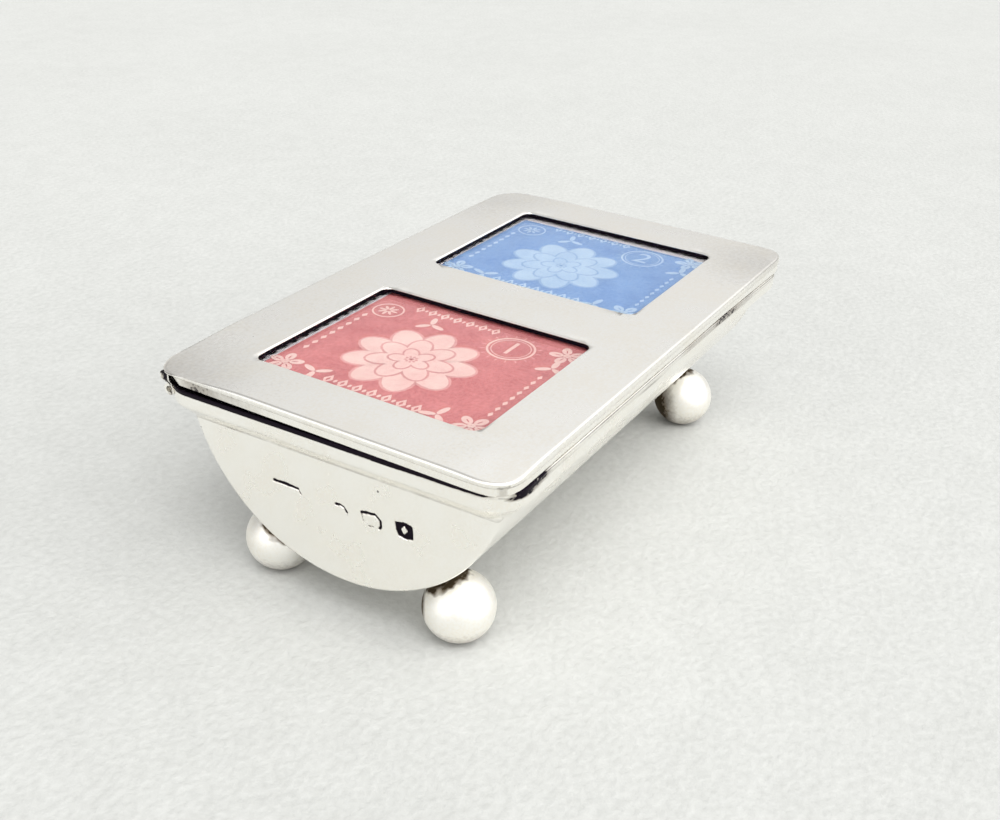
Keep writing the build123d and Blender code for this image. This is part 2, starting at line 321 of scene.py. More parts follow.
def ramp(share):
    """A share kept between 0 and 1."""
    return np.clip(share, 0, 1)


def bell(values, centre, spread):
    """1 at the centre, falling away smoothly on both sides."""
    return np.exp(-(((values - centre * MM) / (spread * MM)) ** 2))


def step_between(values, start, end):
    """0 before start, 1 after end, in millimetres, and smooth between."""
    share = ramp((values / MM - start) / (end - start))
    return share * share * (3 - 2 * share)


def uneven(depth_mm, wavelength_mm, seed):
    """A push along the normals, for sheet that was worked by hand."""

    def push(points, normals):
        return normals * (ripple(points, wavelength_mm, seed) * depth_mm * MM)[:, None]

    return push


print("a ripple is the sum of", WAVES, "waves")

# %% Cutting a model piece into small faces
MERGE_WITHIN = 0.0005
FLAT_WITHIN_DEGREES = 0.2


def cut_by_planes(form, axis, places, reach=None):
    """Cut the faces of a form by planes square to one axis, within reach if one is given."""
    for place in places:
        at = Vector((0, 0, 0))
        at[axis] = place
        facing = Vector((0, 0, 0))
        facing[axis] = 1
        if reach is None:
            parts = form.verts[:] + form.edges[:] + form.faces[:]
        else:
            faces = [f for f in form.faces if reach(f.calc_center_median())]
            edges = {e for f in faces for e in f.edges}
            parts = list({v for e in edges for v in e.verts}) + list(edges) + faces
        bmesh.ops.bisect_plane(form, geom=parts, plane_co=at, plane_no=facing, dist=1e-7)


def sliced(node_name, spacing, extra=()):
    """A merged copy of a model node, cut into small faces, with extra cuts at given heights."""
    form = bmesh.new()
    form.from_mesh(nodes[node_name].data)
    bmesh.ops.remove_doubles(form, verts=form.verts, dist=MERGE_WITHIN * MM)
    flat_within = math.radians(FLAT_WITHIN_DEGREES)
    bmesh.ops.dissolve_limit(form, angle_limit=flat_within, verts=form.verts, edges=form.edges)
    low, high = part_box(node_name)
    for axis, step in enumerate(spacing):
        if step:
            count = max(1, round((high[axis] - low[axis]) / (step * MM)))
            cut_by_planes(form, axis, np.linspace(low[axis], high[axis], count + 1)[1:-1])
    cut_by_planes(form, 2, [height * MM for height in extra])
    return form


print("the model's trough has", len(nodes["trough_shell"].data.polygons), "faces before it is cut")

# %% Finishing a worn piece
# The darkest value a mesh may carry; window walls get it as painted black shade.
DEEPEST_TARNISH_AND_SHADE = 6.0


def read_rows(values, attribute):
    """All points or normals of a mesh as rows."""
    flat = np.empty(len(values) * 3)
    values.foreach_get(attribute, flat)
    return flat.reshape(-1, 3)


def mesh_from(form, name):
    """Close an edited form into a mesh."""
    mesh = bpy.data.meshes.new(name)
    form.to_mesh(mesh)
    form.free()
    return mesh


def finish_piece(
    name, mesh, body, finish, replaced, push=None, grime_and_shade=None, sharp=32,
):
    """Turn a mesh into a worn, smoothly shaded piece that stands for its model node."""
    if isinstance(mesh, bmesh.types.BMesh):
        mesh = mesh_from(mesh, name)
    mesh.shade_smooth()
    mesh.set_sharp_from_angle(angle=math.radians(sharp))
    points = read_rows(mesh.vertices, "co")
    if push is not None:
        normals = read_rows(mesh.vertex_normals, "vector")
        mesh.vertices.foreach_set("co", (points + push(points, normals)).ravel())
    # The value holds tarnish, and painted shade where a piece's sums put it.
    if grime_and_shade is not None:
        tarnish_and_shade_layer = mesh.attributes.new("tarnish_and_shade", "FLOAT", "POINT")
        depth = np.clip(grime_and_shade(points), 0, DEEPEST_TARNISH_AND_SHADE)
        tarnish_and_shade_layer.data.foreach_set("value", depth.astype(np.float32))
    mesh.materials.clear()
    mesh.materials.append(finish)
    piece = bpy.data.objects.new(name, mesh)
    scene.collection.objects.link(piece)
    even = piece.modifiers.new("even shading", "WEIGHTED_NORMAL")
    even.keep_sharp = True
    shaded = plain_mesh(piece)
    piece.modifiers.clear()
    piece.data = shaded
    shaded.name = name
    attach(piece, body)
    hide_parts(*replaced)
    print(name, "has", len(shaded.polygons), "faces")


print("the deepest tarnish is", DEEPEST_TARNISH_AND_SHADE)

# %% [markdown]
# ## Trough and divider
#
# The front, the bottom and the back of the box are one sheet of silver bent to a half circle. It
# could be a bent grid, but the model has it already, with the right thickness. It gets cut across
# its length, so that it can ripple, and its inside is left a little darker than the outside.

# %% Trough and divider
AXIS_HEIGHT = 18.67435 * MM
TROUGH_RADIUS = 15.0 * MM
HALF_SHEET = 0.3 * MM


def trough_grime(points):
    """A faint patchy haze, browner inside the trough."""
    radius = np.hypot(points[:, 1], points[:, 2] - AXIS_HEIGHT)
    inside = np.where(radius < TROUGH_RADIUS - HALF_SHEET, 0.14, 0.0)
    return inside + 0.05 * ripple(points, 9, 3)


finish_piece(
    "trough_sheet", sliced("trough_shell", (1.5, 0, 0)), "box", polished_silver, ["trough_shell"],
    push=uneven(0.02, 12, 1), grime_and_shade=trough_grime,
)
finish_piece(
    "divider_sheet", sliced("divider", (0, 1.5, 1.5)), "box", plain_silver, ["divider"],
    push=uneven(0.02, 9, 2), grime_and_shade=lambda points: 0.12 + 0.08 * ripple(points, 5, 4),
)

# %% [markdown]
# ## End plates and their punch marks
#
# The ends are flat D shapes. The left one carries four small punch marks, worn with age. Here they
# are blank: a bar, an arc, an open frame and a filled frame with a plain lozenge. They are struck
# into the metal and black inside. A bump map would look painted on from the side, so this part of
# the plate gets a fine grid, and its points go in by a tenth of a millimetre.

# %% Punch marks
MARK_DEPTH = 0.11
MARK_WALL = 0.06
MARK_BAR = [(6.35, 10.87), (5.3, 10.9), (3.96, 10.86), (3.66, 10.46)]
MARK_ARC = [(0.24, 10.76), (-0.21, 10.84), (-0.59, 10.72), (-0.83, 10.36), (-0.84, 10.12)]
MARK_FRAME = [
    (-2.62, 9.86), (-2.35, 10.25), (-2.26, 10.62), (-2.22, 10.88), (-2.9, 11.02), (-3.55, 11.06),
    (-3.98, 10.7), (-4.04, 10.2), (-3.86, 9.98), (-3.6, 10.02), (-3.05, 9.9),
]
MARK_SHIELD = [
    (-5.35, 11.16), (-6.2, 11.37), (-6.94, 11.22), (-6.99, 10.04), (-6.25, 9.93), (-5.66, 10.0),
    (-5.4, 10.5),
]
LOZENGE_CENTRE = (-6.18, 10.66)
LOZENGE_HALF = (0.34, 0.44)


def line_distance(y, z, corners, closed=False):
    """How far each point lies from a bent line, in millimetres."""
    ends = corners[1:] + corners[:1] if closed else corners[1:]
    nearest = np.full(len(y), 99.0)
    for (y0, z0), (y1, z1) in zip(corners, ends):
        run_y, run_z = y1 - y0, z1 - z0
        share = ramp(((y - y0) * run_y + (z - z0) * run_z) / (run_y**2 + run_z**2))
        nearest = np.minimum(nearest, np.hypot(y - y0 - share * run_y, z - z0 - share * run_z))
    return nearest


def inside_outline(y, z, corners):
    """Which points lie inside a closed outline."""
    inside = np.zeros(len(y), bool)
    for (y0, z0), (y1, z1) in zip(corners, corners[1:] + corners[:1]):
        crosses = (z0 > z) != (z1 > z)
        inside ^= crosses & (y < (y1 - y0) * (z - z0) / ((z1 - z0) or 1e-9) + y0)
    return inside


def mark_share(points):
    """How deep each point lies in a punch mark, from 0 to 1."""
    y, z = points[:, 1] / MM, points[:, 2] / MM
    worn = 0.03 * ripple(points, 0.7, 11)

    def struck(inwards):
        return ramp((inwards + worn) / MARK_WALL + 0.5)

    def groove(corners, half_width, closed=False):
        return struck(half_width - line_distance(y, z, corners, closed))

    frame_strong = groove(MARK_FRAME[3:9], 0.11)
    frame_weak = groove(MARK_FRAME, 0.035, True) * (ripple(points, 0.6, 12) > -0.4)
    edge = line_distance(y, z, MARK_SHIELD, True)
    shield = struck(np.where(inside_outline(y, z, MARK_SHIELD), edge, -edge))
    lozenge_y = np.abs(y - LOZENGE_CENTRE[0]) / LOZENGE_HALF[0]
    lozenge_z = np.abs(z - LOZENGE_CENTRE[1]) / LOZENGE_HALF[1]
    shield *= 1 - ramp((1 - lozenge_y - lozenge_z) * 5)
    return np.maximum.reduce([
        groove(MARK_BAR[:3], 0.13), groove(MARK_BAR[2:], 0.03), groove(MARK_ARC[:4], 0.09),
        groove(MARK_ARC[3:], 0.02), frame_strong, frame_weak, shield,
    ])


print("a punch mark is struck", MARK_DEPTH, "mm deep")


# %% End plates
OUTER_FACE_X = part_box("end_plate_left")[0].x + 0.01 * MM
MARKED = ((1, (-7.4, 6.8)), (2, (9.5, 11.7)))
MARK_GRID = 0.075
PLATE_CUTS = (14.05, 14.12, 14.17, 14.22, 14.27)


def on_marked_face(centre):
    """Whether a face lies in the part of the left plate that carries the marks."""
    on_marks = (start * MM < centre[axis] < end * MM for axis, (start, end) in MARKED)
    return centre.x < OUTER_FACE_X and all(on_marks)


left_plate = sliced("end_plate_left", (0, 1.2, 1.2), PLATE_CUTS)
for axis, (start, end) in MARKED:
    cut_by_planes(left_plate, axis, (start * MM, end * MM))
for axis, (start, end) in MARKED:
    count = round((end - start) / MARK_GRID)
    cut_by_planes(left_plate, axis, np.linspace(start, end, count + 1)[1:-1] * MM, on_marked_face)


def push_left_plate(points, normals):
    """The plate's soft waves, and the marks struck into its outer face."""
    moved = uneven(0.012, 10, 5)(points, normals)
    outer = points[:, 0] < OUTER_FACE_X
    moved[:, 0] += np.where(outer, mark_share(points) * MARK_DEPTH * MM, 0)
    return moved


def plate_crease_shade(points):
    """Painted shade: the thin dark line where an end plate goes under the moulding."""
    return bell(points[:, 2], 14.24, 0.05) * (0.42 + 0.15 * ripple(points, 3, 6))


def left_plate_marks_and_shade(points):
    """Black in the marks, and a faint shade where the plate meets the moulding."""
    marks = np.where(points[:, 0] < OUTER_FACE_X, mark_share(points), 0) * 0.95
    return np.maximum(marks, plate_crease_shade(points))


finish_piece(
    "left_end_plate", left_plate, "box", polished_silver, ["end_plate_left"],
    push=push_left_plate, grime_and_shade=left_plate_marks_and_shade,
)
finish_piece(
    "right_end_plate", sliced("end_plate_right", (0, 1.2, 1.2), PLATE_CUTS), "box", polished_silver,
    ["end_plate_right"], push=uneven(0.012, 10, 7), grime_and_shade=plate_crease_shade,
)

# %% [markdown]
# ## Rim
#
# The rim is a flat plate over the walls with a moulding under it. The edge of the plate under the
# lid is black along the left end and at the corners, and patchy along the front: this is painted
# shade of the gap under the lid, together with sulphide where polish never reaches. The moulding
# is painted dark in its seam under the plate, in a wedge at the near corner and in the crease at
# its foot, for the shade there. The moulding itself is the brightest part of the box, because
# every cloth rubs it. At the far front corner the rim has sunk a little together with the lid's
# skirt, and at the near corner the lid rubs it bright. The stains and the painted shade could be
# painted on a picture. Sums on the places of the points give them with no picture, and with no
# unwrapping of the mesh.

# %% Rim's shape
RIM_TOP, SEAM_HEIGHT, CREASE_HEIGHT = 17.52, 17.1, 14.3
FRONT_SAG = 0.3
NEAR_CORNER = (-25.98, -14.95)
SEAM_CUTS = (16.6, 16.68, 16.76, 16.84, 16.92, 17.0, 17.06, 17.1)
CREASE_CUTS = (14.1, 14.16, 14.2, 14.24, 14.31, 14.35, 14.4, 14.46)


def front_sag(points):
    """How far the rim and the lid's skirt have sunk together at the far front corner, in metres."""
    x, y = points[:, 0], points[:, 1]
    return FRONT_SAG * MM * step_between(x, 9, 27) * step_between(-y, 4, 15)


def rim_push(depth, wavelength, seed):
    """Uneven metal that has sunk at the far front corner, by less towards its foot."""
    wave = uneven(depth, wavelength, seed)

    def push(points, normals):
        moved = wave(points, normals)
        moved[:, 2] -= front_sag(points) * step_between(points[:, 2], 14.4, SEAM_HEIGHT)
        return moved

    return push


def corner_pinch(points):
    """Where the lid touches the rim at its near corner and rubs it bright."""
    x, y = points[:, 0] - NEAR_CORNER[0] * MM, points[:, 1] - NEAR_CORNER[1] * MM
    return bell(np.hypot(x, y), 0, 0.6)


print("the rim sinks by", FRONT_SAG, "mm at the far front corner")


# %% Rim's tarnish and painted shade
def rim_plate_tarnish_and_shade(points):
    """Black along the ends and the near corner, broken dark dashes along the front: painted gap shade
    and sulphide.
    """
    x, y, z = points.T
    wander = ripple(points, 4, 21)
    thickness = 0.44 - 0.12 * step_between(-y, 2, 14) + 0.04 * wander
    black_band = ramp((z / MM - RIM_TOP + thickness) / 0.08 + 0.5)
    pinch = corner_pinch(points)
    # Painted shade of the gap under the lid at both ends, with sulphide.
    end = 0.85 * step_between(-x, 25.2, 26.2) * black_band * (1 - 0.8 * pinch)
    right_end = 0.8 * step_between(x, 25.4, 26.3)
    # The near corner's black wedge is painted shade of the gap.
    corner = 0.65 * step_between(-x, 20.6, 21.8) * step_between(-y, 15.4, 15.9) * (1 - pinch)
    # Dark dashes along the front: painted shade of the gap, broken like dirt.
    face = step_between(-y, 15.7, 16.1)
    lines = np.maximum(bell(z, 17.44, 0.05), 0.8 * bell(z, 17.2, 0.05))
    dashes = face * lines * (0.42 + 0.2 * wander)
    middle = face * step_between(x, 1, 4) * step_between(-x, -20, -17) * (0.42 + 0.16 * wander)
    # Painted shade on the rim's top under the lid.
    under_lid_shade = 0.5 * step_between(z, 17.48, 17.51) * step_between(16.0 * MM - np.abs(y), 0, 0.4)
    back_edge = 0.5 * step_between(y, 14, 15)
    return np.maximum.reduce([end, right_end, corner, dashes, middle, under_lid_shade, back_edge])


def moulding_tarnish_and_shade(points):
    """Painted shade under the plate with dirt, most at the near corner, and at the foot; dark in the
    hinge groove.
    """
    x, y, z = points.T
    wander = ripple(points, 3, 25)
    ends = step_between(np.abs(x), 25.5, 26.2)
    front_dirt = step_between(-y, 15, 15.8) * (bell(x, -3.8, 3.2) + 0.6 * bell(x, 14, 4))
    # Painted shade in the seam under the plate's edge, with dirt along the front.
    seam_shade_and_dirt = bell(z, SEAM_HEIGHT, 0.06) * (0.5 + 0.2 * wander) * (1 - 0.4 * ends)
    seam_shade_and_dirt = np.maximum(seam_shade_and_dirt, bell(z, 17.02, 0.14) * (0.42 + 0.2 * wander) * front_dirt)
    # A dark wedge under the lid's near corner, painted as shade.
    towards_corner = step_between(-x, 20.8, 22.5) * step_between(-y, 14.9, 15.4)
    towards_corner *= 1 - corner_pinch(points)
    wedge_foot = SEAM_HEIGHT - 0.42 * towards_corner - 0.05 * wander
    corner_wedge_shade = 0.62 * towards_corner * ramp((z / MM - wedge_foot) / 0.12)
    # Painted shade in the crease at the moulding's foot.
    crease_shade = bell(z, CREASE_HEIGHT, 0.08) * (0.44 + 0.15 * wander)
    groove = 0.6 * step_between(y, 14.8, 15.3) * step_between(z, 16.3, 16.6)
    return np.maximum.reduce([seam_shade_and_dirt, corner_wedge_shade, crease_shade, groove])


finish_piece(
    "rim_flat", sliced("rim_plate", (1.2, 1.2, 0.1)), "box", polished_silver, ["rim_plate"],
    push=rim_push(0.012, 8, 23), grime_and_shade=rim_plate_tarnish_and_shade,
)
finish_piece(
    "rim_edge_moulding", sliced("rim_moulding", (1.5, 1.5, 0), SEAM_CUTS + CREASE_CUTS), "box",
    polished_silver, ["rim_moulding"], push=rim_push(0.018, 9, 24), grime_and_shade=moulding_tarnish_and_shade,
)

# %% [markdown]
# ## Lid
#
# The lid is a flat sheet with a rounded edge, over a strip that stands as its skirt. Three of its
# corners are worn low, and the one by the hinge on the left is bent as well. Its edge is crisper
# than the model's, and three of its corners stand out a little further. Such wear could be
# sculpted, but soft pushes in code do the same, are easy to change and keep the windows flat. The
# walls of the windows are painted black as shade, apart from a thin bevel that the cloth keeps
# bright. Three corners of the top are painted a little darker as shade, and the dark line under
# the sheet's edge is painted shade with dirt.

# %% Lid's wear
LID_TILT = math.radians(1.0)
LID_TURN = Matrix.Translation(LID_CENTRE) @ Matrix.Rotation(LID_TILT, 4, "X")
LID_TURN_BACK = np.array(LID_TURN.inverted())
WINDOW_X = 12.55
WINDOW_HALF = (8.9, 10.5)
LID_HALF = (26.85, 16.25)
LID_DEPTH = 1.2
PLATE_DEPTH = 0.5
WORN_CORNERS = ((-1, 1, 0.4, 9.5), (-1, -1, 0.12, 5.0), (1, 1, 0.15, 7.0))
BENT_CORNER = (-1, 1, 0.3, 2.6)
MODEL_EDGE_RADIUS = 0.42
WORN_EDGE_RADIUS = 0.27
CORNER_RADIUS = 3.0
SHARPER_BY = 0.3
BURR = 0.1


def in_lid(points):
    """The same points measured from the middle of the lid's top, square to it, in millimetres."""
    turned = points @ LID_TURN_BACK[:3, :3].T + LID_TURN_BACK[:3, 3]
    return turned / MM


def corner_drop(x, y, side, row, depth, spread):
    """How far a corner of the lid hangs: its depth there, 0 outside a circle round it."""
    from_corner = (x - side * LID_HALF[0]) ** 2 + (y - row * LID_HALF[1]) ** 2
    return depth * ramp(1 - from_corner / spread**2) ** 2


def lid_wear(points):
    """How the lid's points have moved: worn corners, a bent one, crisper edges, in millimetres."""
    x, y, z = in_lid(points).T
    moved = np.zeros((len(x), 3))
    for corner in WORN_CORNERS:
        moved[:, 2] -= corner_drop(x, y, *corner) * ramp(1 + z / PLATE_DEPTH)
    moved[:, 2] -= corner_drop(x, y, *BENT_CORNER)
    moved[:, 2] -= front_sag(points) / MM * ramp(-z / LID_DEPTH)

    inner_x, inner_y = LID_HALF[0] - CORNER_RADIUS, LID_HALF[1] - CORNER_RADIUS
    over_x, over_y = np.maximum(np.abs(x) - inner_x, 0), np.maximum(np.abs(y) - inner_y, 0)
    reach = np.hypot(over_x, over_y)
    from_side = CORNER_RADIUS - reach
    out_x = np.sign(x) * over_x / np.maximum(reach, 1e-9)
    out_y = np.sign(y) * over_y / np.maximum(reach, 1e-9)
    on_edge = (from_side < MODEL_EDGE_RADIUS + 0.01) & (z > -MODEL_EDGE_RADIUS - 0.01)
    tighten = np.where(on_edge, 1 - WORN_EDGE_RADIUS / MODEL_EDGE_RADIUS, 0)
    outward = np.maximum(from_side, 0) * tighten
    moved[:, 2] += -z * tighten
    on_diagonal = 4 * (out_x * out_y) ** 2 * (from_side < 0.8)
    outward += SHARPER_BY * on_diagonal * ((x < 0) | (y < 0))
    moved[:, 0] += out_x * outward
    moved[:, 1] += out_y * outward
    burr = (z < -PLATE_DEPTH + 0.05) & (z > -PLATE_DEPTH - 0.05) & (y < -16.18)
    moved[:, 2] -= np.where(burr, BURR, 0)
    return moved


def lid_push(depth, wavelength, seed):
    """Uneven sheet with worn corners and edges."""
    wave = uneven(depth, wavelength, seed)
    return lambda points, normals: wave(points, normals) + lid_wear(points) * MM


print("worn corners of the lid:", len(WORN_CORNERS))

# %% Lid's tarnish and painted shade
LEFT_HINGE_CORNER, FAR_FRONT_CORNER, FAR_HINGE_CORNER = (-26, 15), (23, -15), (22, 16)


def lid_plate_tarnish_and_shade(points):
    """Window walls black below their bevel and darker corners, both painted shade; brown underneath;
    a faint haze.
    """
    x, y, z = in_lid(points).T
    from_window_x = np.abs(np.abs(x) - WINDOW_X) - WINDOW_HALF[0]
    from_window_y = np.abs(y) - WINDOW_HALF[1]
    # The window walls below their bevel are painted black as shade.
    on_wall = (from_window_x < 0.03) & (from_window_y < 0.03) & (z < -0.2)
    under = 0.2 * (z < -0.49)

    def near(corner, spread):
        return bell(np.hypot(x - corner[0], y - corner[1]) * MM, 0, spread)

    # Three corners of the top painted a little darker as shade, over a faint patchy haze.
    far_corner_shade = near(FAR_FRONT_CORNER, 6) + 0.4 * near(FAR_HINGE_CORNER, 7)
    bloom_and_corner_shade = 0.03 * ripple(points, 12, 31) + 0.16 * near(LEFT_HINGE_CORNER, 6)
    bloom_and_corner_shade += 0.17 * far_corner_shade + 0.05
    return np.maximum.reduce([np.where(on_wall, DEEPEST_TARNISH_AND_SHADE, 0), under, bloom_and_corner_shade])


def skirt_tarnish_and_shade(points):
    """A dark line under the sheet's edge, painted shade with dirt, and brown blotches towards the
    hinge at the left end.
    """
    x, y, z = in_lid(points).T
    front = step_between(-y * MM, 15, 15.8)
    # Painted shade with dirt under the sheet's edge, darker along the front.
    seam_shade_and_dirt = 0.5 + 0.3 * front + 0.14 * ripple(points, 1.5, 32)
    seam_shade_and_dirt *= ramp(1 - (-PLATE_DEPTH - z) / 0.14)
    left_end = step_between(-x * MM, 26, 26.3) * step_between(y * MM, 1, 12)
    blotches = left_end * (0.47 + 0.22 * ripple(points, 1.6, 33))
    inner = np.where(np.abs(x) < 26.2, np.where(np.abs(y) < 15.6, 0.3, 0), 0)
    return np.maximum.reduce([seam_shade_and_dirt, blotches, inner])


finish_piece(
    "lid_sheet", sliced("lid_plate", (1.1, 1.1, 0)), "lid", satin_silver, ["lid_plate"],
    push=lid_push(0.008, 14, 34), grime_and_shade=lid_plate_tarnish_and_shade,
)
finish_piece(
    "lid_skirt_strip", sliced("lid_skirt", (1.2, 1.2, 0.1)), "lid", polished_silver, ["lid_skirt"],
    push=lid_push(0.012, 6, 35), grime_and_shade=skirt_tarnish_and_shade,
)

# %% [markdown]
# ## Hinge
#
# Five short tubes take turns on the lid and on the box, and one pin runs through them. A strip
# hangs from the lid and carries the lid's tubes. Its ends were left long and splayed. They could be
# pieces of their own, but a few pushes on the model's strip bend them out of the same metal. Grease
# and dust keep the hinge dark, apart from the rubbed ends of the strip, whose tops are painted dark
# for the shade under the lid.

# %% Hinge
STRIP_END_REACH = (0.18, 0.55)
STRIP_SWELL = (0.35, -0.12)
STRIP_BENT_DOWN = 0.32


def leaf_push(points, normals):
    """The strip's ends splay above the box's rim, and the left one is bent down with the lid."""
    moved = uneven(0.008, 5, 41)(points, normals)
    x, y, z = points.T
    above = step_between(z, 17.3, 18.0)
    end = step_between(np.abs(x), 25.2, 25.8)
    low_reach, high_reach = STRIP_END_REACH
    moved[:, 0] += np.sign(x) * end * (low_reach + (high_reach - low_reach) * above) * MM
    moved[:, 1] += end * above * np.where(y > 15.3 * MM, *STRIP_SWELL) * MM
    bent = end * step_between(-x, 24, 25.5)
    moved[:, 2] -= np.where(z > 18.6 * MM, STRIP_BENT_DOWN, 0) * bent * MM
    return moved


def hinge_grime_and_shade(points):
    """Dark patches all over, and rubbed ends with a dark middle and a top painted dark as shade under
    the lid.
    """
    x, y, z = points.T
    rubbed = step_between(np.abs(x), 25.2, 25.7)
    middle = rubbed * bell(y, 15.3, 0.1) * 0.85
    # Painted shade under the lid on the top of the strip's ends.
    top = rubbed * step_between(z, 18.68, 18.8) * 0.8
    patches = (0.3 + 0.22 * ripple(points, 2.5, 42)) * (1 - 0.7 * rubbed)
    return np.maximum.reduce([patches, middle, top])


finish_piece(
    "hinge_strip", sliced("hinge_leaf", (0.6, 0.1, 0.15)), "lid", polished_silver, ["hinge_leaf"],
    push=leaf_push, grime_and_shade=hinge_grime_and_shade,
)
for node_name in sorted(nodes):
    if "knuckle" in node_name:
        body = "lid" if node_name.startswith("lid") else "box"
        finish_piece(
            node_name.replace("knuckle", "hinge_tube"), sliced(node_name, (0.8, 0, 0)), body,
            polished_silver, [node_name], push=uneven(0.008, 3, 43), grime_and_shade=hinge_grime_and_shade,
        )
finish_piece(
    "hinge_wire", sliced("hinge_pin", (1.0, 0, 0)), "box", plain_silver, ["hinge_pin"],
    push=uneven(0.004, 4, 44), grime_and_shade=hinge_grime_and_shade,
)

# %% [markdown]
# ## Ball feet
#
# Each foot is two thin cups soldered together and polished until the seam is gone. A ball could be
# turned on a lathe in code, but an icosphere has no poles, so small dents look alike all over it.
# It is worn flat where it stands. A crust crowns it round the solder. The front balls are painted
# dark on the side that mirrors the shade under the box, and each is painted a little darker
# towards its foot, as shade.

# %% Ball feet
BALL_RADIUS = 2.96 * MM
BALL_CENTRE_HEIGHT = 2.9 * MM
ROOM_FOR_DENTS = 0.012 * MM
SIDES = ("left", "right")
FEET = [f"{row}_{side}" for row in ("front", "back") for side in SIDES]
CROWN_DEGREES = {"front_left": 42, "front_right": 42, "back_left": 52, "back_right": 42}
# Front balls' sides painted dark for the shade they mirror from under the box: direction, spread in
# degrees.
SHADED_SIDES = {"front_left": ((-0.51, 0.86, 0.0), 32), "front_right": ((-0.5, 0.83, -0.25), 78)}


def degrees_between(out, direction):
    """The angle from each point of a ball to a direction."""
    return np.degrees(np.arccos(np.clip(out @ np.array(direction), -1, 1)))


def make_ball(foot, seed):
    """One ball, dented and worn flat, with its crown, and painted shade on a shaded side and towards
    its foot.
    """
    low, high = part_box(f"foot_{foot}")
    centre = Vector(((low.x + high.x) / 2, (low.y + high.y) / 2, BALL_CENTRE_HEIGHT))
    to_axis = np.array([0, -centre.y, AXIS_HEIGHT - centre.z])
    to_axis /= np.linalg.norm(to_axis)
    form = bmesh.new()
    bmesh.ops.create_icosphere(form, subdivisions=6, radius=BALL_RADIUS - ROOM_FOR_DENTS)
    bmesh.ops.translate(form, verts=form.verts, vec=centre)

    def push(points, normals):
        moved = uneven(0.01, 3.5, seed)(points, normals)
        moved += uneven(0.0015, 1.1, seed + 10)(points, normals)
        below = points[:, 2] + moved[:, 2] < 0
        moved[below, 2] = -points[below, 2]
        return moved

    def grime_and_shade(points):
        out = (points - np.array(centre)) / BALL_RADIUS
        height = points[:, 2] / MM
        angle = degrees_between(out, to_axis) - 5 * ripple(points, 0.7, seed + 20)
        stains_and_shade = [0.64 * ramp((CROWN_DEGREES[foot] + 6 - angle) / 10)]
        # Painted shade, darker towards the foot and darkest where the ball stands.
        stains_and_shade.append(0.25 * ramp((2.7 - height) / 1.8) + 0.3 * ramp((0.5 - height) / 0.4))
        # Painted shade: the dark that this side mirrors from under the box.
        if foot in SHADED_SIDES:
            side, spread = SHADED_SIDES[foot]
            stains_and_shade.append(0.75 * ramp((spread - degrees_between(out, side)) / (0.6 * spread)))
        return np.maximum.reduce(stains_and_shade)

    finish_piece(
        f"ball_{foot}", form, "box", ball_silver, [f"foot_{foot}"],
        push=push, grime_and_shade=grime_and_shade, sharp=60,
    )


for seed, foot in enumerate(FEET, 51):
    make_ball(foot, seed)

# %% [markdown]
# ## Solder at the feet
#
# The fillets come from the model as smooth rings. Real solder sags and spits, so each ring is cut
# fine, pushed out in lumps, and strewn with crumbs. The crumbs are a job for Geometry Nodes: points
# scattered over the ring from a fixed seed, a small rough grain on each, all made one mesh.

# %% Crumb tree
crumb_tree, given, result = growth_tree("solder_crumbs", {
    "Density": "Float", "Smallest": "Float", "Largest": "Float", "Seed": "Int",
})
scatter = node(crumb_tree, "GeometryNodeDistributePointsOnFaces", {
    "Mesh": given["Geometry"], "Density": given["Density"], "Seed": given["Seed"],
})
grain = node(crumb_tree, "GeometryNodeMeshIcoSphere", {"Radius": 1.0, "Subdivisions": 1})
grain_size = node(crumb_tree, "FunctionNodeRandomValue", {
    2: given["Smallest"], 3: given["Largest"], "Seed": given["Seed"],
}, data_type="FLOAT")
crumbs = node(crumb_tree, "GeometryNodeInstanceOnPoints", {
    "Points": scatter.outputs["Points"], "Instance": grain.outputs["Mesh"],
    "Rotation": scatter.outputs["Rotation"], "Scale": grain_size.outputs[1],
})
both = node(crumb_tree, "GeometryNodeJoinGeometry")
crumb_tree.links.new(given["Geometry"], both.inputs[0])
crumb_tree.links.new(crumbs.outputs[0], both.inputs[0])
close_tree(crumb_tree, both.outputs[0], solder_finish, result)
print("the crumb tree has", len(crumb_tree.nodes), "nodes")

# %% Solder fillets
for seed, foot in enumerate(FEET, 71):
    ring = mesh_from(sliced(f"foot_solder_{foot}", (0.16, 0.16, 0.16)), "ring")
    points = read_rows(ring.vertices, "co")
    normals = read_rows(ring.vertex_normals, "vector")
    lumps = 0.08 + 0.1 * ripple(points, 0.9, seed) + 0.06 * ripple(points, 0.4, seed + 5)
    ring.vertices.foreach_set("co", (points + normals * (lumps * MM)[:, None]).ravel())
    crusty = grown(crumb_tree, {
        "Density": 5e6, "Smallest": 0.03 * MM, "Largest": 0.1 * MM, "Seed": seed,
    }, ring)
    finish_piece(
        f"solder_{foot}", crusty, "box", solder_finish, [f"foot_solder_{foot}"],
        sharp=70,
    )

# %% [markdown]
# ## Stamps
#
# Behind each glass lies one stamp: white paper with a perforated edge, printed in one colour. The
# print here is a pattern of no country: a large pale bloom, sprigs, a row of lozenges and a plain
# number. Everything in it repeats round a ring or along a line, so Geometry Nodes grow it, a flat
# petal at a time, and the layers lie a hundredth of a millimetre apart. The ink itself is mottled,
# as ink on old paper is.

